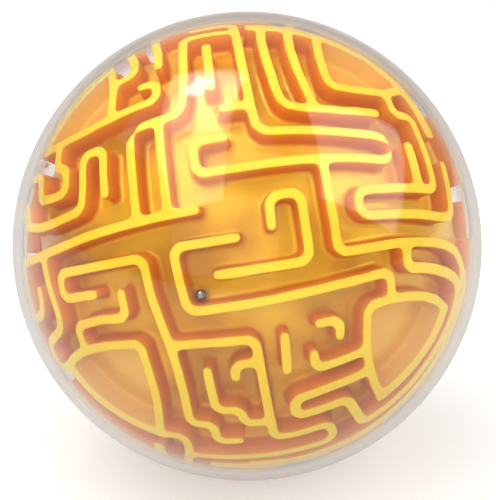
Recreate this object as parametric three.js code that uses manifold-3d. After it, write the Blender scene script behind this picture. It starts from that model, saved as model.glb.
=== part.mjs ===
// Ball maze: a clear two-part shell round a hollow maze ball, with one loose steel ball
// in the lanes. Millimetres, +Z up, origin at the middle of the sphere.

import * as THREE from 'three';
import { mergeVertices } from 'three/addons/utils/BufferGeometryUtils.js';
import Module from 'manifold-3d';

const wasm = await Module();
wasm.setup();

// Radii, from the outside in.
const SHELL_OUTER = 60;
const SHELL_INNER = 58.2;
const WALL_TOP = 57.5;
const LANE_FLOOR = 52.7;
const FLOOR_THICKNESS = 2;

// Fits.
const GAP = 0.3;
const LAP_LENGTH = 1.6;
const LAP_MIDDLE = (SHELL_OUTER + SHELL_INNER) / 2;

// Walls. Steps, cuts and turns are in degrees; a free end is a share of the wall's width.
const WALL_WIDTH = 2.3;
const RIM_WIDTH = 3.8;
const WALL_ROOT = LANE_FLOOR - 1;
const WALL_STEP = 13;
const FREE_END = 0.4;
const END_DIP = 0.3;
const CORNER_CUT = 1.5;
const SHARP_TURN = 40;
const WIDEST_MITRE = 1 / 0.6;

// Facets: of a dome as [round the axis, from pole to seam], of a cylinder round its axis.
const SHELL_FACETS = [32, 8];
const FLOOR_FACETS = [24, 6];
const PIN_FACETS = 12;
const MARKER_FACETS = 20;
const BALL_FACETS = [16, 12];

// Steel ball, and where it rests on the chart below: the low end of a lane in the middle.
const BALL_RADIUS = 1.39;
const BALL_PLACE = [-13.2, -10.2];

// Inlaid markers, one in each half.
const MARKER_RADIUS = 2.5;
const MARKER_THICKNESS = 0.8;
const MARKER_PLACE = [-80, 11.5];

// Bosses, pins and sockets that join the two maze halves.
const BOSS_RADIUS = 3.2;
const BOSS_HEIGHT = 6;
const BOSS_PLACE = LANE_FLOOR - FLOOR_THICKNESS - BOSS_RADIUS;
const PIN_RADIUS = 1.2;
const PIN_LENGTH = 3;

// Locating rib inside each shell half.
const RIB_WIDTH = 1.4;
const RIB_DEPTH = 3.4;
const RIB_PATH = [[-67, 40.3], [-71, 42.7]];

// How the ball stands: its seam is square to a line raised this much from level, and the
// lanes are turned this much about that line.
const TILT = 20;
const ROLL = 9;

const rad = THREE.MathUtils.degToRad;

// The maze, laid out on a chart of one half. A point is [east, north] in degrees from the
// middle of the half, so the seam is 90 degrees out. A line of points is the middle of a wall.
const LANE_WALLS = [
  // spiral in the middle, from its hook outwards
  [[6.3, 3.4], [6.7, 10.7], [14.3, 10.7], [14.1, -5.6], [-8, -5.6]],
  // box round the spiral, ending on the lower right island
  [[-2, 2.3], [-17.4, 2.3], [-17, -6], [-16.2, -13.4], [0, -13.4], [10, -13], [20, -12.5],
    [34.4, -11.8], [34.3, -19]],
  // long wall out to the left rim, and the bay at its end
  [[-10.4, 10.2], [-20, 10.1], [-30, 9.6], [-40, 8.8], [-50, 7.5], [-60, 6.3], [-73.8, 5.6]],
  [[-73.2, -13], [-66.5, -11.5], [-63.6, -9.3], [-63.5, -3.2]],
  [[-58.4, 6], [-57.7, -2], [-56.1, -10], [-56.2, -15.2], [-65.9, -20.4], [-66.4, -26],
    [-63.6, -29], [-58.5, -27.2]],
  // two teeth on the long wall, and the top box that they lead to
  [[-25.3, 10], [-25.3, 32.3], [-23.6, 34.2], [-11.5, 35.6], [-10.3, 41], [-9.7, 50],
    [-9.4, 65], [3.4, 65]],
  [[-17.3, 10], [-17.3, 34.5]],
  [[-2.7, 58.7], [-2.8, 41.6]],
  // long U on the right that turns up to the top
  [[-1.2, 26.8], [-9.3, 26.8], [-9.3, 18.6], [10, 18.5], [20, 18.2], [30, 17.5], [38, 16.4],
    [41, 17], [42, 19.5], [41, 22.1], [37.5, 23.3], [30, 24.3], [20, 25.7], [10, 26.7],
    [6.7, 27.5], [6.3, 35], [6.2, 50], [6.4, 60], [6.2, 70.4], [-7, 70.4]],
  [[6.3, 34.8], [-0.8, 34.8]],
  // wall down from the U, then right to the rim
  [[21.2, 18], [21.2, -5], [38, -5.2], [45, -6], [50, -6.9], [55, -8.3], [60, -11], [63, -15],
    [65, -21]],
  // double bar on the right, with a post inside
  [[61.4, 15], [61.2, 9], [60.1, -0.9], [55, -0.5], [50, 0.5], [45, 1.4], [37, 2.3], [28.5, 3],
    [28.5, 9.2], [40, 8.8], [50, 7.8], [54.3, 7.4], [54.3, 15], [53.8, 21], [52.9, 29.7],
    [46.5, 29.9], [46.4, 37.2]],
  [[47.9, 20.4], [48.1, 8.6]],
  // comb at the upper right
  [[40.2, 30], [30, 30.8], [20, 32.1], [14.3, 33.8], [13.4, 40], [13, 50], [13.3, 58],
    [14.6, 67]],
  [[22.6, 32], [21.5, 38], [20.7, 45], [20.8, 53], [21.8, 60], [23, 64.5]],
  // upper right island
  [[32, 61], [30.2, 57], [28.8, 50], [28.3, 44], [28.6, 38.8], [35, 37.7], [40, 37.4],
    [46.4, 37.3], [50, 38.6], [55.5, 40.5]],
  // upper left island and its hooks
  [[-41.5, 73], [-36.2, 65], [-33.2, 59.5], [-31.7, 54], [-31, 50], [-31, 39.8]],
  [[-58.5, 38.9], [-50, 38.3], [-40, 38.6], [-31, 39.8], [-17.5, 41.7], [-17.4, 47.9],
    [-22.2, 47.6]],
  [[-31.4, 52.7], [-24.5, 53.7], [-24.8, 59], [-26.6, 64.5], [-30, 72], [-34.5, 83.5]],
  [[-16.9, 54], [-17.2, 60], [-18.2, 65], [-19.5, 71], [-21.5, 80]],
  // left side: two U walls that run out over the rim
  [[-50.6, 38], [-50.6, 29.9], [-46.5, 29.7], [-46.7, 22], [-52, 21.9], [-58.6, 22.5],
    [-58.7, 30.7], [-64, 32], [-70, 34], [-82.5, 38.5]],
  [[-33.5, 18.4], [-33.5, 31.2], [-40.2, 31], [-40.4, 22], [-41.3, 15.8], [-50, 14.8],
    [-55, 14.5], [-60, 14.8], [-66.5, 16.6]],
  // lower left brackets
  [[-40.6, -6.2], [-51.9, -6.6], [-52, 0.5], [-40, 0.8], [-25.2, 1.1], [-24.7, -8],
    [-23.5, -15], [-22.4, -21.5], [-21.9, -28], [-21.9, -35], [-22.6, -45.3], [-16.4, -45.8],
    [-16.6, -52.9], [-10.2, -53.1]],
  [[-32.6, -6.5], [-32.4, -13.1], [-40, -12.9], [-49.2, -14.2], [-48.6, -21]],
  // bottom panel: frame, hook, steps and posts
  [[-22.4, -21.2], [-15, -21.4], [-1.5, -22.1], [-1.4, -30], [-1.2, -40], [-0.8, -53.5],
    [5, -53.7], [10, -53.1], [14.9, -52.4], [16.2, -57], [15.4, -60.8], [10, -61.2],
    [0, -61.8], [-10, -61.5], [-20, -60.8], [-27.3, -60.2]],
  [[-1.6, -28.2], [-7.8, -28.1], [-7.8, -31.8]],
  [[-14.5, -28.7], [-14.6, -41.1], [-8, -41.5], [-8.1, -46.5], [-1.2, -46.8]],
  [[5.5, -22.5], [5, -32]],
  [[13.9, -21.1], [19.6, -21], [19.1, -25.7]],
  [[26.4, -31], [20, -32], [12, -33], [12.1, -28.5]],
  // lower left island, and the lane wall that leaves its corner
  [[-58.5, -27.2], [-54.5, -24.1], [-50, -22], [-45, -20.8], [-40, -20.1], [-30.2, -19.9],
    [-29.9, -27], [-29.8, -33], [-30.3, -38], [-31.4, -43], [-33, -49]],
  [[-33, -49.9], [-26.1, -50.4], [-26, -55], [-27.3, -60], [-29.3, -65], [-31.3, -69.5],
    [-34.5, -76]],
  // lower right island
  [[54, -27], [50, -23.1], [45, -20.8], [40, -19.6], [34.3, -19], [27.2, -19.3], [26.5, -25],
    [26.2, -30], [26.7, -36], [28.3, -42], [31, -48.2]],
];

// Wider walls, each with its own width.
const WIDE_WALLS = [
  // second ring outside the lower right island, with its fold back to the middle
  { width: 2.6, path: [[40.4, -5.4], [39.9, -12.1], [45, -12.9], [50, -14.3], [55, -16.4],
    [60, -19.4], [61.3, -23.3], [60, -27.5], [56.4, -34], [53, -38.3], [48.8, -42.8],
    [45, -46.4], [40, -50.3], [35, -53.2], [25.8, -57.1], [20.3, -44.8], [15, -45.7],
    [5.9, -46.7], [5.7, -41], [15, -39.4], [27, -37.3]] },
  // links from the rims to the seam
  { width: 4.4, path: [[-67.5, 17.2], [-68.2, 21.8], [-76, 24.2]] },
  { width: 9, path: [[-4.6, -69], [-4.9, -80]] },
  { width: 3, path: [[47.9, 19.8], [48.1, 8.6]] },
  { width: WALL_WIDTH, path: [[-21, -67], [-22.6, -73], [-24, -79]] },
];

// Curved walls, each a line of [distance from the middle, bearing] stops. The distance
// changes evenly with the bearing between two stops.
const CURVED_WALLS = [
  // outer walls of the lower right and lower left islands
  { width: 3.2, stops: [[60.4, -26.6], [60.3, -35], [57.3, -57.3]] },
  { width: 3.2, stops: [[64.5, 205], [63.9, 216], [59.7, 236.5]] },
  // rims: bottom, upper right, upper left, left, lower left
  { width: RIM_WIDTH, stops: [[68, -17.1], [70.4, -20.4], [70, -42], [68.3, -82], [69.9, -107]] },
  { width: RIM_WIDTH, stops: [[68.1, 80], [70.4, 48], [68.8, 36.8], [64.4, 23]] },
  { width: 5.4, stops: [[72.5, 121], [72.3, 143.3]] },
  { width: 3.4, stops: [[74, 175.7], [74.6, 183], [74.3, 189.7]] },
  { width: 3, stops: [[67.6, 237.2], [75.1, 238.9], [75.1, 209.8]] },
  // arcs near the seam
  ...[
    [78.5, -46, -8], [79, 34, 62], [79, 124, 138], [79, 283, 298], [86, -50, -30], [86, 8, 26],
    [86, 76, 104], [86, 128, 147], [86, 178, 204], [86, 236, 262],
  ].map(([distance, first, last]) => (
    { width: WALL_WIDTH, stops: [[distance, first], [distance, last]] })),
  // spokes; those that reach past 90 are cut off flush with the seam
  ...[
    [70, 70.5, 91], [-30, 78, 91], [-8, 78.5, 86], [132, 75, 86], [190, 76, 86], [262, 74, 86],
  ].map(([bearing, first, last]) => (
    { width: WALL_WIDTH, stops: [[first, bearing], [last, bearing]] })),
];

const direction = ([east, north], radius = 1) => {
  const distance = rad(Math.hypot(east, north));
  const bearing = Math.atan2(north, east);
  return new THREE.Vector3(
    Math.sin(distance) * Math.cos(bearing),
    Math.sin(distance) * Math.sin(bearing),
    Math.cos(distance),
  ).multiplyScalar(radius);
};

// The points of a curved wall's line, at most a wall step of bearing apart.
const curvedPath = (stops) => stops.flatMap(([distance, bearing], i) => {
  const [fromDistance, fromBearing] = stops[Math.max(i - 1, 0)];
  const steps = Math.max(Math.ceil(Math.abs(bearing - fromBearing) / WALL_STEP), 1);
  return Array.from({ length: i === 0 ? 1 : steps }, (_, k) => {
    const share = (k + 1) / steps;
    const reach = fromDistance + (distance - fromDistance) * share;
    const angle = rad(fromBearing + (bearing - fromBearing) * share);
    return [reach * Math.cos(angle), reach * Math.sin(angle)];
  });
});

const toSolid = (geometry) => {
  const bare = geometry.clone();
  bare.deleteAttribute('normal');
  bare.deleteAttribute('uv');
  const merged = mergeVertices(bare, 1e-4);
  return new wasm.Manifold(new wasm.Mesh({
    numProp: 3,
    vertProperties: new Float32Array(merged.attributes.position.array),
    triVerts: new Uint32Array(merged.index.array),
  }));
};

const toGeometry = (solid) => {
  const mesh = solid.getMesh();
  const geometry = new THREE.BufferGeometry();
  geometry.setAttribute('position', new THREE.BufferAttribute(mesh.vertProperties, 3));
  geometry.setIndex(new THREE.BufferAttribute(mesh.triVerts, 1));
  return geometry;
};

const joined = (solids) => {
  let layer = solids;
  while (layer.length > 1) {
    const next = [];
    for (let i = 0; i < layer.length; i += 2) {
      next.push(i + 1 < layer.length ? layer[i].add(layer[i + 1]) : layer[i]);
    }
    layer = next;
  }
  return layer[0];
};

const toward = (from, to, length) => {
  const share = length / Math.hypot(to[0] - from[0], to[1] - from[1]);
  return [from[0] + (to[0] - from[0]) * share, from[1] + (to[1] - from[1]) * share];
};

const turnAt = (before, corner, after) => {
  const arriving = Math.atan2(corner[1] - before[1], corner[0] - before[0]);
  const leaving = Math.atan2(after[1] - corner[1], after[0] - corner[0]);
  const turn = Math.abs(THREE.MathUtils.radToDeg(leaving - arriving));
  return Math.min(turn, 360 - turn);
};

// Cuts each sharp corner of a line off, so that the wall turns it in two steps.
const softened = (path) => path.flatMap((corner, i) => {
  const [before, after] = [path[i - 1], path[i + 1]];
  if (!before || !after || turnAt(before, corner, after) < SHARP_TURN) return [corner];
  return [toward(corner, before, CORNER_CUT), toward(corner, after, CORNER_CUT)];
});

// A wall of even width along a line on the chart, from one radius out to another. Its top
// dips a little at each end, so a branch runs in just under the wall that it joins. The
// width is measured at the wall's top, and the sides run straight in to the middle.
const wallSolid = (line, width, low = WALL_ROOT, high = WALL_TOP) => {
  const path = softened(line);
  const stations = [path[0]];
  for (let i = 1; i < path.length; i += 1) {
    const [a, b] = [path[i - 1], path[i]];
    const pieces = Math.ceil(Math.hypot(b[0] - a[0], b[1] - a[1]) / WALL_STEP);
    for (let k = 1; k <= pieces; k += 1) {
      stations.push([a[0] + ((b[0] - a[0]) * k) / pieces, a[1] + ((b[1] - a[1]) * k) / pieces]);
    }
  }
  const points = stations.map((station) => direction(station));
  const sides = points.slice(1).map((point, i) => points[i].clone().cross(point).normalize());

  // Bend a straight block onto the path: x becomes the station, y the side, z the radius.
  const spans = points.length - 1;
  const geometry = new THREE.BoxGeometry(spans, 2, 1, spans, 1, 1);
  geometry.translate(spans / 2, 0, 0.5);
  const corners = geometry.attributes.position;
  for (let corner = 0; corner < corners.count; corner += 1) {
    const i = Math.round(corners.getX(corner));
    const before = sides[Math.max(i - 1, 0)];
    const after = sides[Math.min(i, spans - 1)];
    const side = before.clone().add(after).normalize();
    const mitre = Math.min(1 / side.dot(after), WIDEST_MITRE);
    const place = points[i].clone();
    if (i === 0 || i === spans) {
      const outward = side.clone().cross(place).multiplyScalar(i === 0 ? -1 : 1);
      place.addScaledVector(outward, (FREE_END * width) / high);
    }
    place.addScaledVector(side, (corners.getY(corner) * mitre * width) / 2 / high);
    const top = i === 0 || i === spans ? high - END_DIP : high;
    place.setLength(corners.getZ(corner) > 0.5 ? top : low);
    corners.setXYZ(corner, place.x, place.y, place.z);
  }
  return toSolid(geometry);
};

// A quarter circle from the pole down to a height, as [distance from the axis, height].
const arcPoints = (radius, lowest, steps) => {
  const widest = Math.acos(lowest / radius);
  return Array.from({ length: steps + 1 }, (_, i) => {
    const angle = (widest * i) / steps;
    return new THREE.Vector2(i === 0 ? 0 : radius * Math.sin(angle), radius * Math.cos(angle));
  });
};

// A closed profile of [distance from the axis, height], turned round the pole axis.
const turned = (points, facets) => {
  const geometry = new THREE.LatheGeometry([...points].reverse(), facets);
  geometry.rotateX(Math.PI / 2);
  return toSolid(geometry);
};

const cylinder = (radius, x, lowest, highest) => {
  const geometry = new THREE.CylinderGeometry(radius, radius, highest - lowest, PIN_FACETS);
  geometry.rotateX(Math.PI / 2);
  geometry.translate(x, 0, (lowest + highest) / 2);
  return toSolid(geometry);
};

// A disc lying in the lane floor at the marker's place.
const markerGeometry = (radius, low, high) => {
  const geometry = new THREE.CylinderGeometry(radius, radius, high - low, MARKER_FACETS);
  geometry.rotateX(Math.PI / 2);
  geometry.translate(0, 0, (low + high) / 2);
  const turn = new THREE.Quaternion();
  turn.setFromUnitVectors(new THREE.Vector3(0, 0, 1), direction(MARKER_PLACE));
  geometry.applyQuaternion(turn);
  return geometry;
};

// One maze half: a domed floor with walls standing on it. Both halves are this moulding.
const mazeHalf = () => {
  const seam = GAP / 2;
  const [round, down] = FLOOR_FACETS;
  const floor = turned([
    ...arcPoints(LANE_FLOOR, seam, down),
    ...arcPoints(LANE_FLOOR - FLOOR_THICKNESS, seam, down).reverse(),
  ], round);
  const walls = [
    ...LANE_WALLS.map((path) => wallSolid(path, WALL_WIDTH)),
    ...WIDE_WALLS.map(({ width, path }) => wallSolid(path, width)),
    ...CURVED_WALLS.map(({ width, stops }) => wallSolid(curvedPath(stops), width)),
  ];
  const bosses = [BOSS_PLACE, -BOSS_PLACE].map((x) => cylinder(BOSS_RADIUS, x, seam, BOSS_HEIGHT));
  const otherSide = new THREE.BoxGeometry(3 * SHELL_OUTER, 3 * SHELL_OUTER, SHELL_OUTER);
  otherSide.translate(0, 0, seam - SHELL_OUTER / 2);
  const pocket = markerGeometry(
    MARKER_RADIUS + GAP, LANE_FLOOR - MARKER_THICKNESS, LANE_FLOOR + MARKER_THICKNESS);
  return joined([floor, ...walls, ...bosses])
    .subtract(toSolid(otherSide))
    .subtract(toSolid(pocket))
    .subtract(cylinder(PIN_RADIUS + GAP, -BOSS_PLACE, -1, PIN_LENGTH + GAP))
    .add(cylinder(PIN_RADIUS, BOSS_PLACE, -PIN_LENGTH, BOSS_HEIGHT / 2));
};

const rib = () => wallSolid(RIB_PATH, RIB_WIDTH, SHELL_INNER - RIB_DEPTH, LAP_MIDDLE);

// A shell half: its lip is the part of the profile between the outer and inner arcs.
const shellHalf = (outerEnd, lip) => {
  const [round, down] = SHELL_FACETS;
  return toGeometry(turned([
    ...arcPoints(SHELL_OUTER, outerEnd, down),
    ...lip.map(([distance, height]) => new THREE.Vector2(distance, height)),
    ...arcPoints(SHELL_INNER, GAP / 2, down).reverse(),
  ], round).add(rib()));
};

// The front lip laps over the rear one outside.
const frontShell = () => shellHalf(0, [
  [SHELL_OUTER, -LAP_LENGTH],
  [LAP_MIDDLE + GAP / 2, -LAP_LENGTH],
  [LAP_MIDDLE + GAP / 2, GAP / 2],
]);

// The rear shell is made with its pole up, like the front one.
const rearShell = () => shellHalf(LAP_LENGTH + GAP, [
  [LAP_MIDDLE - GAP / 2, LAP_LENGTH + GAP],
  [LAP_MIDDLE - GAP / 2, GAP / 2],
]);

const named = (name, geometry, look) => {
  const mesh = new THREE.Mesh(geometry, new THREE.MeshStandardMaterial(look));
  mesh.name = name;
  return mesh;
};

const CLEAR = { color: 0xe8ecee, roughness: 0.05, metalness: 0, transparent: true, opacity: 0.2 };
const AMBER = { color: 0xf5b928, roughness: 0.35, metalness: 0 };
const STEEL = { color: 0xc8ccd0, roughness: 0.12, metalness: 1 };
const PINK = { color: 0xd8345f, roughness: 0.4, metalness: 0 };
const GREEN = { color: 0x2f9e57, roughness: 0.4, metalness: 0 };

const game = new THREE.Group();
game.rotation.set(rad(90 - TILT), 0, rad(ROLL));

const moulding = toGeometry(mazeHalf());
const marker = markerGeometry(
  MARKER_RADIUS, LANE_FLOOR - MARKER_THICKNESS + GAP, LANE_FLOOR + GAP);

const frontHalf = new THREE.Group();
frontHalf.add(named('front_shell', frontShell(), CLEAR));
frontHalf.add(named('front_maze', moulding, AMBER));
frontHalf.add(named('start_marker', marker, PINK));

const rearHalf = new THREE.Group();
rearHalf.rotation.y = Math.PI;
rearHalf.add(named('rear_shell', rearShell(), CLEAR));
rearHalf.add(named('rear_maze', moulding, AMBER));
rearHalf.add(named('finish_marker', marker, GREEN));

const steelBall = named('steel_ball', new THREE.SphereGeometry(BALL_RADIUS, ...BALL_FACETS), STEEL);
steelBall.position.copy(direction(BALL_PLACE, LANE_FLOOR + GAP + BALL_RADIUS));

game.add(frontHalf, rearHalf, steelBall);

export default game;
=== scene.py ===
"""Clear sphere puzzle: an amber maze ball in a clear shell, with one loose steel ball.

The object's lengths are in millimetres and are turned into metres where a mesh is made. The
studio's are in metres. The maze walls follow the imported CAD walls' own tops, and the ball and
the markers take their places from the frame.
"""

import math

import bmesh
import bpy
import numpy as np
from mathutils import Matrix, Vector
from mathutils.bvhtree import BVHTree


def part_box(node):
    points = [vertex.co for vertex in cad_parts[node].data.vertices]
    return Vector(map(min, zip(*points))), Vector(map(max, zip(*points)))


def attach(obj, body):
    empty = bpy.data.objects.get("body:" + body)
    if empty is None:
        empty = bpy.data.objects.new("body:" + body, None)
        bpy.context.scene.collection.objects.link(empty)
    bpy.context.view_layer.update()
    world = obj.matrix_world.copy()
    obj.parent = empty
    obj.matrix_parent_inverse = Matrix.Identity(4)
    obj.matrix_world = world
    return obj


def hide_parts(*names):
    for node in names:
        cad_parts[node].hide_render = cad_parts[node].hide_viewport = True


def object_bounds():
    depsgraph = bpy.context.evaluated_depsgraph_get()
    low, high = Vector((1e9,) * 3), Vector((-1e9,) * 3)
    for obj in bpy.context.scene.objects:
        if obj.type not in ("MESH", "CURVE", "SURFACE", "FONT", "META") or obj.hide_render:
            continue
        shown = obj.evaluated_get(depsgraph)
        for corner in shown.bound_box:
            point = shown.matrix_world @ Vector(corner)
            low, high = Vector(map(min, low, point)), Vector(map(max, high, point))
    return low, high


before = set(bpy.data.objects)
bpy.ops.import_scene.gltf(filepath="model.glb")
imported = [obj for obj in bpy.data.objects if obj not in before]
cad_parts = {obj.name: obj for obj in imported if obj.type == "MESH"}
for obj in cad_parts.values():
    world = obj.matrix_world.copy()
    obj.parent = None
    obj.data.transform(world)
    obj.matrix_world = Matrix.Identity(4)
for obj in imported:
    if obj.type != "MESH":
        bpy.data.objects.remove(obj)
cad_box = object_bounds()

MM = 0.001

# How the sphere stands: the front half's pole leans up from -Y, and the maze is turned
# about it.
TILT = math.radians(20)
ROLL = math.radians(9)

# Radii.
WALL_TOP = 57.5
LANE_FLOOR = 52.7
MAZE_INSIDE = 50.7
SHELL_INNER = 58.2

# The seam: half the gap between the halves, and how far the front shell laps over the rear.
SEAM_HALF_GAP = 0.15
LAP_LENGTH = 1.6

# The rib inside each shell half: its ends on the half's chart, in degrees, and its section,
# with a root let into the shell's wall.
RIB_ENDS = [(-67, 40.3), (-71, 42.7)]
RIB_WIDTH = 1.4
RIB_DEPTH = 3.4
RIB_ROOT = 0.4
RIB_EDGE = 0.3

# The inlaid markers: a disc whose middle is sunk inside a raised rim.
MARKER_RADIUS = 2.5
MARKER_THICKNESS = 0.8
MARKER_RIM_INSIDE = 1.7
MARKER_RIM_HEIGHT = 0.12
MARKER_RIM_SLOPE = 0.15

# Section of a wall, as [distance outside the wall's edge, radius]: rounded top, drafted
# side, fillet at the foot.
WALL_SECTION = np.array([
    [-0.22, WALL_TOP],
    [-0.12, WALL_TOP - 0.02],
    [-0.04, WALL_TOP - 0.08],
    [0.0, WALL_TOP - 0.2],
    [0.03, WALL_TOP - 0.6],
    [0.15, LANE_FLOOR + 1.25],
    [0.2, LANE_FLOOR + 0.85],
    [0.38, LANE_FLOOR + 0.45],
    [0.7, LANE_FLOOR + 0.17],
    [1.15, LANE_FLOOR + 0.03],
    [1.6, LANE_FLOOR],
])

# A point in each smooth island, in degrees on a half's chart. From it the island is filled
# as far as its walls: a place counts as open while it is more than the neck, in mm, from the
# nearest wall. The islands get a paler colour, a painted light for their open, better-lit
# floors; the spread, in degrees, then takes this painted light up the walls' sides.
ISLANDS = [(41, -33), (-44, -33), (43, 50), (-42, 47)]
ISLAND_NECK = 0.6
ISLAND_SPREAD = 1.2

# The chart's grid and how far the walls' corners are softened, in degrees.
GRID_STEP = 0.6
CORNER_SOFTNESS = 0.75

# Reading the CAD walls: how far below WALL_TOP a top's corners may lie, the radius that rays
# start from, their least height over the seam, and the grid points measured at a time.
WALL_TOP_TOLERANCE = 0.9
RAY_START = 70
RAY_LEAST_RISE = 0.005
POINTS_AT_A_TIME = 1500

# Facets.
INSIDE_RINGS = 24
ARC_STEPS = 48
SPHERE_SEGMENTS = 128
MARKER_SEGMENTS = 64
BALL_CUTS = 15

# Camera: metres from the sphere's centre, sensor and lens in mm, shift in frame widths.
CAMERA_DISTANCE = 0.6
CAMERA_SENSOR = 36
CAMERA_LENS = 168.6
CAMERA_SHIFT = (0.0018, -0.0078)

# Studio: half the floor's width in metres, and the colour of the warm cards.
FLOOR_HALF_WIDTH = 6.0
WARM = (1, 0.95, 0.72)


def half_axes(front):
    """Columns are a half's east, north and pole directions in the row frame."""
    turn = Matrix.Rotation(math.pi / 2 - TILT, 3, "X") @ Matrix.Rotation(ROLL, 3, "Z")
    if not front:
        turn = turn @ Matrix.Rotation(math.pi, 3, "Y")
    return np.array(turn)


def directions(chart):
    """Unit directions, in a half's own axes, of [east, north] points in degrees."""
    distance = np.radians(np.hypot(chart[:, 0], chart[:, 1]))
    bearing = np.arctan2(chart[:, 1], chart[:, 0])
    across = np.sin(distance)
    return np.stack([across * np.cos(bearing), across * np.sin(bearing), np.cos(distance)], 1)


def finished(bm, name):
    """The mesh of a piece, from its bmesh."""
    mesh = bpy.data.meshes.new(name)
    bm.to_mesh(mesh)
    bm.free()
    return mesh


def link(name, mesh, slot, material, *replaced):
    """Puts a mesh in the scene with its material, in place of the CAD nodes named. The slot is not
    used.
    """
    piece = bpy.data.objects.new(name, mesh)
    bpy.context.scene.collection.objects.link(piece)
    mesh.materials.append(material)
    mesh.polygons.foreach_set("use_smooth", [True] * len(mesh.polygons))
    if replaced:
        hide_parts(*replaced)
    return piece


# ---------------------------------------------------------------- maze halves


def wall_tops(node, axes):
    """The CAD walls' top triangles in a half's own axes, and the edges round them."""
    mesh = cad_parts[node].data
    mesh.calc_loop_triangles()
    points = np.empty(len(mesh.vertices) * 3, np.float32)
    mesh.vertices.foreach_get("co", points)
    points = points.reshape(-1, 3).astype(float) / MM @ axes
    corners = np.empty(len(mesh.loop_triangles) * 3, np.int32)
    mesh.loop_triangles.foreach_get("vertices", corners)
    unique, inverse = np.unique(np.round(points, 3), axis=0, return_inverse=True)
    corners = inverse.reshape(-1)[corners].reshape(-1, 3)
    radius = np.linalg.norm(unique, axis=1)
    tops = corners[(radius[corners] > WALL_TOP - WALL_TOP_TOLERANCE).all(axis=1)]
    edges = np.sort(tops[:, [0, 1, 1, 2, 2, 0]].reshape(-1, 2), axis=1)
    pairs, count = np.unique(edges, axis=0, return_counts=True)
    outline = pairs[count == 1]
    on_seam = (unique[outline, 2] < 2 * SEAM_HALF_GAP).all(axis=1)
    return unique, tops, outline[~on_seam]


def wall_distance(aim, points, tops, outline):
    """Distance in mm from each direction to the nearest wall edge, negative on a wall.

    A ray towards the middle that meets a wall's top says that the direction is on a wall.
    """
    rim = points[outline]
    rim *= WALL_TOP / np.linalg.norm(rim, axis=2, keepdims=True)
    start = rim[:, 0]
    along = rim[:, 1] - start
    length2 = np.maximum((along * along).sum(axis=1), 1e-9)
    distance = np.empty(len(aim))
    for first in range(0, len(aim), POINTS_AT_A_TIME):
        chunk = slice(first, first + POINTS_AT_A_TIME)
        place = aim[chunk, None, :] * WALL_TOP
        offset = place - start
        share = np.clip((offset * along).sum(axis=2) / length2, 0, 1)
        offset -= share[:, :, None] * along
        distance[chunk] = np.sqrt((offset * offset).sum(axis=2).min(axis=1))
    tree = BVHTree.FromPolygons([Vector(p) for p in points], tops.tolist())
    for i, direction in enumerate(aim):
        inward = Vector(direction)
        inward.z = max(inward.z, RAY_LEAST_RISE)
        inward.normalize()
        if tree.ray_cast(inward * RAY_START, -inward)[0] is not None:
            distance[i] = -distance[i]
    return distance


def softened(distance, links):
    """Spreads the distances over neighbouring grid points, which rounds the walls' corners."""
    passes = round((CORNER_SOFTNESS / GRID_STEP) ** 2 * 4)
    first, second = links[:, 0], links[:, 1]
    count = len(distance)
    degree = np.bincount(first, minlength=count) + np.bincount(second, minlength=count)
    for _ in range(passes):
        around = np.bincount(first, distance[second], count)
        around += np.bincount(second, distance[first], count)
        distance = distance + 0.5 * (around / degree - distance)
    return distance


def island_mask(chart, distance, links):
    """1 at grid points inside the islands' walls, their sides included, and 0 elsewhere: where the
    islands' painted light goes.
    """
    neighbours = [[] for _ in chart]
    for first, second in links:
        neighbours[first].append(second)
        neighbours[second].append(first)
    mask = np.zeros(len(chart))
    for island in ISLANDS:
        pending = [int(np.hypot(*(chart - island).T).argmin())]
        while pending:
            here = pending.pop()
            if mask[here] or distance[here] < ISLAND_NECK:
                continue
            mask[here] = 1
            pending += neighbours[here]
    for _ in range(round(ISLAND_SPREAD / GRID_STEP)):
        inside = mask.copy()
        for first, second in links:
            if inside[first] or inside[second]:
                mask[first] = mask[second] = 1
    return mask


def chart_grid(reach):
    """A triangle grid over the chart, cut to a disc of the given reach in degrees."""
    rise = GRID_STEP * math.sqrt(3) / 2
    across = int(reach / GRID_STEP) + 2
    up = int(reach / rise) + 2
    width = 2 * across + 1
    bm = bmesh.new()
    rows = []
    for j in range(-up, up + 1):
        shift = 0.5 * (j % 2)
        rows.append([
            bm.verts.new(((i + shift) * GRID_STEP, j * rise, 0)) for i in range(-across, across + 1)
        ])
    for j in range(2 * up):
        low, high = rows[j], rows[j + 1]
        leaning = (j - up) % 2
        for i in range(width - 1):
            if leaning:
                bm.faces.new((low[i], low[i + 1], high[i + 1]))
                bm.faces.new((low[i], high[i + 1], high[i]))
            else:
                bm.faces.new((low[i], low[i + 1], high[i]))
                bm.faces.new((low[i + 1], high[i + 1], high[i]))
    for vert in bm.verts:
        vert.co.z = math.hypot(vert.co.x, vert.co.y) - reach
    everything = bm.verts[:] + bm.edges[:] + bm.faces[:]
    bmesh.ops.bisect_plane(
        bm, geom=everything, dist=1e-4, plane_co=(0, 0, 0), plane_no=(0, 0, 1), clear_outer=True)
    return bm


def add_inside(bm, rim_radius, axes):
    """Closes a lifted half with a flat seam face and a plain domed inside."""
    pole = Vector(axes[:, 2])
    edges = [edge for edge in bm.edges if edge.is_boundary]
    for step in range(INSIDE_RINGS + 1):
        grown = bmesh.ops.extrude_edge_only(bm, edges=edges)["geom"]
        edges = [item for item in grown if isinstance(item, bmesh.types.BMEdge)]
        angle = math.pi / 2 * (1 - step / (INSIDE_RINGS + 1))
        for vert in (item for item in grown if isinstance(item, bmesh.types.BMVert)):
            flat = vert.co - pole * vert.co.dot(pole)
            flat.normalize()
            height = math.cos(angle) * rim_radius + (SEAM_HALF_GAP * MM if step == 0 else 0)
            vert.co = flat * (math.sin(angle) * rim_radius) + pole * height
    bmesh.ops.contextual_create(bm, geom=edges)
    bmesh.ops.recalc_face_normals(bm, faces=bm.faces)


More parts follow.
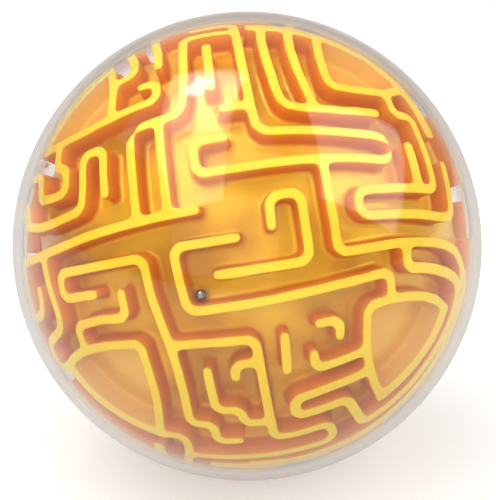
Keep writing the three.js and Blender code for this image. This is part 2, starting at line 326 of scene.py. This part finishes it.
def maze_half(node, front, material):
    """Rebuilds a CAD maze half with rounded wall tops, drafted sides and filleted feet."""
    axes = half_axes(front)
    points, tops, outline = wall_tops(node, axes)
    reach = math.degrees(math.acos(SEAM_HALF_GAP / LANE_FLOOR))
    bm = chart_grid(reach)
    chart = np.array([vert.co.xy for vert in bm.verts])
    distance = wall_distance(directions(chart), points, tops, outline)
    bm.verts.index_update()
    links = np.array([[vert.index for vert in edge.verts] for edge in bm.edges])
    distance = softened(distance, links)
    # The island attribute marks where the islands' painted light goes.
    layer = bm.verts.layers.float.new("island")
    for vert, value, inside in zip(bm.verts, distance, island_mask(chart, distance, links)):
        vert.co.z = value
        vert[layer] = inside
    for level in WALL_SECTION[:, 0]:
        everything = bm.verts[:] + bm.edges[:] + bm.faces[:]
        bmesh.ops.bisect_plane(
            bm, geom=everything, dist=1e-3, plane_co=(0, 0, level), plane_no=(0, 0, 1))
    flat = np.array([vert.co for vert in bm.verts])
    radius = np.interp(flat[:, 2], WALL_SECTION[:, 0], WALL_SECTION[:, 1])
    places = directions(flat[:, :2]) * radius[:, None] * MM @ axes.T
    for vert, place in zip(bm.verts, places):
        vert.co = place
    add_inside(bm, MAZE_INSIDE * MM, axes)
    name = node + "_fine"
    piece = link(name, finished(bm, name), "amber_maze", material, node)
    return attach(piece, "casing")


# ---------------------------------------------------------------- clear shell and small pieces


def turned(profile, axes, segments=SPHERE_SEGMENTS):
    """A closed solid turned about a half's pole, from [distance from the axis, height] points."""
    bm = bmesh.new()
    ring = [bm.verts.new((distance * MM, 0, height * MM)) for distance, height in profile]
    closed = profile[0][0] > 0
    pairs = list(zip(ring, ring[1:] + ring[:1])) if closed else list(zip(ring, ring[1:]))
    edges = [bm.edges.new(pair) for pair in pairs]
    bmesh.ops.spin(
        bm, geom=ring + edges, cent=(0, 0, 0), axis=(0, 0, 1), angle=math.tau,
        steps=segments, use_merge=True)
    bmesh.ops.remove_doubles(bm, verts=bm.verts, dist=1e-6)
    bmesh.ops.recalc_face_normals(bm, faces=bm.faces)
    bm.transform(Matrix(axes.tolist()).to_4x4())
    return bm


def quarter(radius, height):
    """Points of an arc from the pole down to a height."""
    widest = math.acos(height / radius)
    return [
        (radius * math.sin(widest * i / ARC_STEPS), radius * math.cos(widest * i / ARC_STEPS))
        for i in range(ARC_STEPS + 1)
    ]


def eased(corner, before, after, size=0.12, steps=3):
    """Points that round one corner of a profile."""
    here = Vector(corner)
    start = here + (Vector(before) - here).normalized() * size
    end = here + (Vector(after) - here).normalized() * size
    points = []
    for i in range(steps + 1):
        t = i / steps
        points.append(tuple((1 - t) ** 2 * start + 2 * t * (1 - t) * here + t ** 2 * end))
    return points


def shell_half(name, front, material, replaced):
    """One clear half with the lap joint's lip at its seam."""
    outer = min(abs(side) for corner in cad_box for side in corner) / MM
    middle = (outer + SHELL_INNER) / 2
    if front:
        lip = [(outer, -LAP_LENGTH), (middle + SEAM_HALF_GAP, -LAP_LENGTH),
               (middle + SEAM_HALF_GAP, SEAM_HALF_GAP)]
        outer_end = 0.0
    else:
        outer_end = LAP_LENGTH + 2 * SEAM_HALF_GAP
        lip = [(middle - SEAM_HALF_GAP, outer_end), (middle - SEAM_HALF_GAP, SEAM_HALF_GAP)]
    outside = quarter(outer, outer_end)
    inside = quarter(SHELL_INNER, SEAM_HALF_GAP)[::-1]
    corners = ([outside[-1]] if not front else []) + lip
    path = [outside[-2]] + corners + [inside[0]]
    eased_lip = []
    for before, corner, after in zip(path, path[1:], path[2:]):
        eased_lip += eased(corner, before, after)
    profile = (outside if front else outside[:-1]) + eased_lip + inside
    piece = link(name, finished(turned(profile, half_axes(front)), name), "clear_shell", material,
                 replaced)
    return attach(piece, "casing")


def locating_rib(name, front, material):
    """The frosted rib inside a shell half, a rounded bar that stands in from its wall."""
    axes = half_axes(front)
    ends = np.array(RIB_ENDS)
    steps = 6
    chart = np.array([ends[0] + (ends[1] - ends[0]) * i / steps for i in range(steps + 1)])
    aim = directions(chart) @ axes.T
    side = np.cross(aim[0], aim[-1])
    side /= np.linalg.norm(side)
    low = SHELL_INNER - RIB_DEPTH
    high = SHELL_INNER + RIB_ROOT
    half = RIB_WIDTH / 2
    section = [(-half, high), (-half, low + RIB_EDGE), (RIB_EDGE - half, low),
               (half - RIB_EDGE, low), (half, low + RIB_EDGE), (half, high)]
    bm = bmesh.new()
    rings = [
        [bm.verts.new((Vector(out * radius) + Vector(side * across)) * MM)
         for across, radius in section]
        for out in aim
    ]
    for ring, following in zip(rings, rings[1:]):
        for i in range(len(section)):
            k = (i + 1) % len(section)
            bm.faces.new((ring[i], ring[k], following[k], following[i]))
    bm.faces.new(rings[0])
    bm.faces.new(rings[-1])
    bmesh.ops.recalc_face_normals(bm, faces=bm.faces)
    piece = link(name, finished(bm, name), "clear_shell", material)
    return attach(piece, "casing")


def marker(name, material, slot, replaced):
    """A disc let into the lane floor, sunk in the middle, with eased edges."""
    low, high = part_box(replaced)
    centre = (low + high) / 2
    outwards = centre.normalized()
    radius = MARKER_RADIUS
    top = MARKER_THICKNESS / 2
    sunk = top - MARKER_RIM_HEIGHT
    inside = MARKER_RIM_INSIDE
    rim_middle = (inside + radius) / 2
    profile = [(0, sunk), (inside - MARKER_RIM_SLOPE, sunk)]
    profile += eased((inside, top), (inside, sunk), (rim_middle, top), 0.06)
    profile += eased((radius, top), (rim_middle, top), (radius, -top), 0.2, 4)
    profile += eased((radius, -top), (radius, top), (0, -top), 0.1, 2)
    profile += [(0, -top)]
    bm = turned(profile, np.eye(3), MARKER_SEGMENTS)
    turn = outwards.to_track_quat("Z", "Y").to_matrix().to_4x4()
    bm.transform(Matrix.Translation(centre) @ turn)
    piece = link(name, finished(bm, name), slot, material, replaced)
    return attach(piece, "casing")


def steel_ball(material):
    """The loose ball, a cube subdivided and rounded so that its facets don't show."""
    low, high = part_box("steel_ball")
    centre = (low + high) / 2
    radius = min(high - low) / 2
    bm = bmesh.new()
    bmesh.ops.create_cube(bm, size=2)
    bmesh.ops.subdivide_edges(bm, edges=bm.edges, cuts=BALL_CUTS, use_grid_fill=True)
    for vert in bm.verts:
        vert.co = centre + vert.co.normalized() * radius
    piece = link("steel_ball_fine", finished(bm, "steel_ball_fine"), "polished_steel", material,
                 "steel_ball")
    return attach(piece, "ball")


# ---------------------------------------------------------------- materials


class Nodes:
    """Short names for building one material's nodes."""

    def __init__(self, name):
        self.material = bpy.data.materials.new(name)
        self.material.use_nodes = True
        self.tree = self.material.node_tree
        self.tree.nodes.clear()
        self.output = self.add("OutputMaterial")

    def add(self, kind, inputs=None, **settings):
        node = self.tree.nodes.new("ShaderNode" + kind)
        for key, value in settings.items():
            setattr(node, key, value)
        for key, value in (inputs or {}).items():
            self.put(value, node.inputs[key])
        return node

    def put(self, value, socket):
        if isinstance(value, bpy.types.NodeSocket):
            self.tree.links.new(value, socket)
        elif isinstance(value, bpy.types.Node):
            self.tree.links.new(value.outputs[0], socket)
        else:
            socket.default_value = value

    def maths(self, operation, *values):
        node = self.add("Math", operation=operation)
        for value, socket in zip(values, node.inputs):
            self.put(value, socket)
        return node.outputs[0]

    def place(self):
        return self.add("TexCoord").outputs["Object"]

    def noise(self, scale, detail):
        node = self.add("TexNoise", {"Scale": scale, "Detail": detail, "Vector": self.place()})
        return node.outputs["Fac"]

    def ramp(self, factor, *stops):
        node = self.add("ValToRGB", {"Fac": factor})
        elements = node.color_ramp.elements
        while len(elements) < len(stops):
            elements.new(0.5)
        for element, (position, color) in zip(elements, stops):
            element.position = position
            element.color = (*color, 1)
        return node.outputs["Color"]

    def mix(self, factor, a, b):
        node = self.add("Mix", data_type="RGBA")
        self.put(factor, node.inputs["Factor"])
        self.put(a, node.inputs["A"])
        self.put(b, node.inputs["B"])
        return node.outputs["Result"]

    def spread(self, value, low, high, new_low=0.0, new_high=1.0):
        node = self.add("MapRange", {
            "Value": value, "From Min": low, "From Max": high, "To Min": new_low,
            "To Max": new_high})
        return node.outputs["Result"]

    def bump(self, height, strength, distance):
        node = self.add("Bump", {"Height": height, "Strength": strength, "Distance": distance})
        return node.outputs["Normal"]

    def finish(self, shader):
        self.tree.links.new(shader.outputs[0], self.output.inputs["Surface"])
        return self.material


def amber_plastic():
    """Yellow wall tops, orange sides and a glossy golden floor, told apart by radius.

    The inside of an island, marked by the mesh's island attribute, is painted paler, a painted
    light for its open, better-lit floor.
    """
    n = Nodes("amber_plastic")
    radius = n.maths("MULTIPLY", n.add("VectorMath", {0: n.place()}, operation="LENGTH")
                     .outputs["Value"], 1 / MM)
    depth = n.spread(radius, LANE_FLOOR, WALL_TOP)
    cloud = n.noise(55.0, 3.0)
    fine = n.noise(900.0, 2.0)
    floor = n.ramp(n.noise(34.0, 5.0), (0.36, (0.58, 0.26, 0.01)), (0.5, (0.83, 0.44, 0.015)),
                   (0.66, (0.96, 0.59, 0.03)))
    # Painted shade and light: the wall sides are coloured darker towards their foot, deep in the
    # lanes, and lighter near the top where light catches them.
    side = n.ramp(depth, (0.1, (0.67, 0.19, 0.005)), (0.5, (0.74, 0.22, 0.005)),
                  (0.9, (0.88, 0.33, 0.01)))
    island = n.add("Attribute", attribute_name="island").outputs["Fac"]
    # Painted light: the islands' floors and inner sides get a paler colour because they are open
    # and better lit than the narrow lanes.
    pale = n.ramp(cloud, (0.3, (0.80, 0.42, 0.06)), (0.7, (0.90, 0.52, 0.10)))
    body = n.mix(island, n.mix(n.spread(depth, 0.02, 0.16), floor, side), pale)
    top = n.ramp(cloud, (0.35, (1.0, 0.66, 0.025)), (0.65, (1.0, 0.75, 0.04)))
    color = n.mix(n.spread(depth, 0.93, 0.97), body, top)
    rough = n.maths("ADD", n.spread(depth, 0.0, 0.3, 0.26, 0.45), n.maths("MULTIPLY", fine, 0.06))
    glint = n.spread(depth, 0.0, 0.12, 0.28, 0.0)
    shader = n.add("BsdfPrincipled", {
        "Base Color": color, "Metallic": glint, "Roughness": rough, "IOR": 1.45,
        "Specular IOR Level": 0.3, "Subsurface Weight": 0.12,
        "Subsurface Radius": (1.0, 0.55, 0.1), "Subsurface Scale": 0.001,
        "Normal": n.bump(n.maths("ADD", n.maths("MULTIPLY", cloud, 0.6), fine), 0.12, 0.0002)})
    return n.finish(shader)


def clear_plastic():
    """Clear moulded plastic, milky where it is seen edge on. Lamps shine through it."""
    n = Nodes("clear_plastic")
    flow = n.noise(18.0, 2.0)
    scuffs = n.noise(420.0, 3.0)
    rough = n.spread(scuffs, 0.45, 0.75, 0.0, 0.03)
    normal = n.bump(flow, 0.03, 0.0006)
    glass = n.add("BsdfGlass", {
        "Color": (0.968, 0.962, 0.966, 1), "Roughness": rough, "IOR": 1.36, "Normal": normal})
    cloudy = n.ramp(flow, (0.3, (0.72, 0.70, 0.69)), (0.7, (0.80, 0.79, 0.78)))
    milk = n.add("MixShader", {"Fac": 0.35})
    n.tree.links.new(n.add("BsdfDiffuse", {"Color": cloudy}).outputs[0], milk.inputs[1])
    n.tree.links.new(n.add("BsdfTranslucent", {"Color": cloudy}).outputs[0], milk.inputs[2])
    edge_on = n.add("LayerWeight", {"Blend": 0.5}).outputs["Facing"]
    hazy = n.add("MixShader", {"Fac": n.spread(edge_on, 0.62, 0.76, 0.0, 0.68)})
    n.tree.links.new(glass.outputs[0], hazy.inputs[1])
    n.tree.links.new(milk.outputs[0], hazy.inputs[2])
    open_way = n.add("BsdfTransparent", {"Color": (0.96, 0.96, 0.955, 1)})
    mixed = n.add("MixShader", {"Fac": n.add("LightPath").outputs["Is Shadow Ray"]})
    n.tree.links.new(hazy.outputs[0], mixed.inputs[1])
    n.tree.links.new(open_way.outputs[0], mixed.inputs[2])
    return n.finish(mixed)


def frosted_plastic():
    """The rib's cloudy white, where the mould was textured."""
    n = Nodes("frosted_plastic")
    grain = n.noise(1500.0, 3.0)
    shader = n.add("BsdfPrincipled", {
        "Base Color": n.ramp(grain, (0.3, (0.78, 0.77, 0.74)), (0.7, (0.90, 0.89, 0.87))),
        "Roughness": n.spread(grain, 0.3, 0.7, 0.4, 0.55),
        "Normal": n.bump(grain, 0.15, 0.0001)})
    return n.finish(shader)


def tinted_plastic(name, dark, light):
    """Coloured glossy plastic with a slight cloudiness and moulding texture."""
    n = Nodes(name)
    cloud = n.noise(260.0, 3.0)
    fine = n.noise(2600.0, 2.0)
    shader = n.add("BsdfPrincipled", {
        "Base Color": n.ramp(cloud, (0.35, dark), (0.65, light)),
        "Roughness": n.spread(fine, 0.3, 0.7, 0.24, 0.36),
        "Normal": n.bump(fine, 0.1, 0.0001)})
    return n.finish(shader)


def polished_steel():
    """Bearing steel, with faint lapping marks in its gloss."""
    n = Nodes("polished_steel")
    marks = n.noise(3000.0, 4.0)
    shader = n.add("BsdfPrincipled", {
        "Base Color": n.ramp(marks, (0.3, (0.27, 0.28, 0.30)), (0.7, (0.34, 0.35, 0.37))),
        "Metallic": 1.0, "Roughness": n.spread(marks, 0.3, 0.7, 0.02, 0.06)})
    return n.finish(shader)


def pale_floor():
    """White acrylic, lit a little from beneath, which keeps the shadow light."""
    n = Nodes("pale_floor")
    shade = n.ramp(n.noise(3.0, 2.0), (0.3, (0.94, 0.94, 0.94)), (0.7, (0.96, 0.96, 0.96)))
    shader = n.add("BsdfPrincipled", {
        "Base Color": shade,
        "Roughness": 0.7, "Emission Color": (1, 1, 1, 1), "Emission Strength": 0.42})
    return n.finish(shader)


# ---------------------------------------------------------------- studio


def studio_floor():
    """A wide pale floor at the sphere's lowest point."""
    mesh = bpy.data.meshes.new("floor")
    half = FLOOR_HALF_WIDTH
    height = cad_box[0][2]
    corners = [(-half, -half, height), (half, -half, height), (half, half, height),
               (-half, half, height)]
    mesh.from_pydata(corners, [], [(0, 1, 2, 3)])
    mesh.materials.append(pale_floor())
    floor = bpy.data.objects.new("floor", mesh)
    bpy.context.scene.collection.objects.link(floor)


def softbox(name, place, size, brightness, card=False, turn=0, color=(1, 1, 1)):
    """A rectangular lamp that faces the middle of the object, of that surface brightness.

    It is turned some degrees about its own middle. A card is seen only in reflections; any
    other softbox only lights.
    """
    light = bpy.data.lights.new(name, "AREA")
    light.shape = "RECTANGLE"
    light.color = color
    light.size, light.size_y = size
    light.energy = brightness * math.pi * size[0] * size[1]
    lamp = bpy.data.objects.new(name, light)
    lamp.location = place
    facing = Vector(place).to_track_quat("Z", "Y").to_matrix()
    lamp.rotation_euler = (facing @ Matrix.Rotation(math.radians(turn), 3, "Z")).to_euler()
    lamp.visible_glossy = card
    lamp.visible_diffuse = not card
    bpy.context.scene.collection.objects.link(lamp)


def studio_light():
    """A dim warm-white room, softboxes that light, and cards that the shell reflects."""
    world = bpy.data.worlds.new("studio")
    world.use_nodes = True
    background = world.node_tree.nodes["Background"]
    background.inputs["Color"].default_value = (1, 0.975, 0.93, 1)
    background.inputs["Strength"].default_value = 0.38
    bpy.context.scene.world = world
    bpy.context.scene.view_settings.view_transform = "Standard"
    softbox("overhead", (-0.33, -0.16, 0.94), (1.3, 0.9), 1.25)
    softbox("right_side", (0.72, -0.22, 0.68), (0.85, 0.8), 0.7)
    softbox("front_fill", (-0.3, -1.5, 0.7), (1.6, 1.2), 1.15)
    softbox("left_card", (-0.42, -0.2, 1.05), (1.65, 0.6), 2.6, card=True, turn=-37,
            color=WARM)
    softbox("bright_card", (-0.27, 0.10, 0.95), (0.6, 0.4), 1.8, card=True)
    softbox("hot_card", (-0.288, 0.249, 0.917), (0.18, 0.13), 9.0, card=True)
    softbox("right_card", (0.8, -0.11, 0.66), (0.9, 0.8), 2.4, card=True, turn=35)


def camera():
    """The photo's view, looking down the front half's pole."""
    place = Vector((0, -math.cos(TILT), math.sin(TILT))) * CAMERA_DISTANCE
    data = bpy.data.cameras.new("camera")
    data.sensor_width = CAMERA_SENSOR
    data.lens = CAMERA_LENS
    data.shift_x, data.shift_y = CAMERA_SHIFT
    seen = bpy.data.objects.new("camera", data)
    seen.location = place
    seen.rotation_euler = place.to_track_quat("Z", "Y").to_euler()
    bpy.context.scene.collection.objects.link(seen)
    bpy.context.scene.camera = seen


# ---------------------------------------------------------------- build


amber = amber_plastic()
clear = clear_plastic()
maze_half("front_maze", True, amber)
maze_half("rear_maze", False, amber)
shell_half("front_shell_fine", True, clear, "front_shell")
shell_half("rear_shell_fine", False, clear, "rear_shell")
frosted = frosted_plastic()
locating_rib("front_rib", True, frosted)
locating_rib("rear_rib", False, frosted)
marker("start_marker_fine",
       tinted_plastic("pink_plastic", (0.55, 0.025, 0.09), (0.70, 0.05, 0.14)),
       "pink_marker", "start_marker")
marker("finish_marker_fine",
       tinted_plastic("green_plastic", (0.02, 0.26, 0.07), (0.04, 0.38, 0.11)),
       "green_marker", "finish_marker")
steel_ball(polished_steel())
studio_floor()
studio_light()
camera()
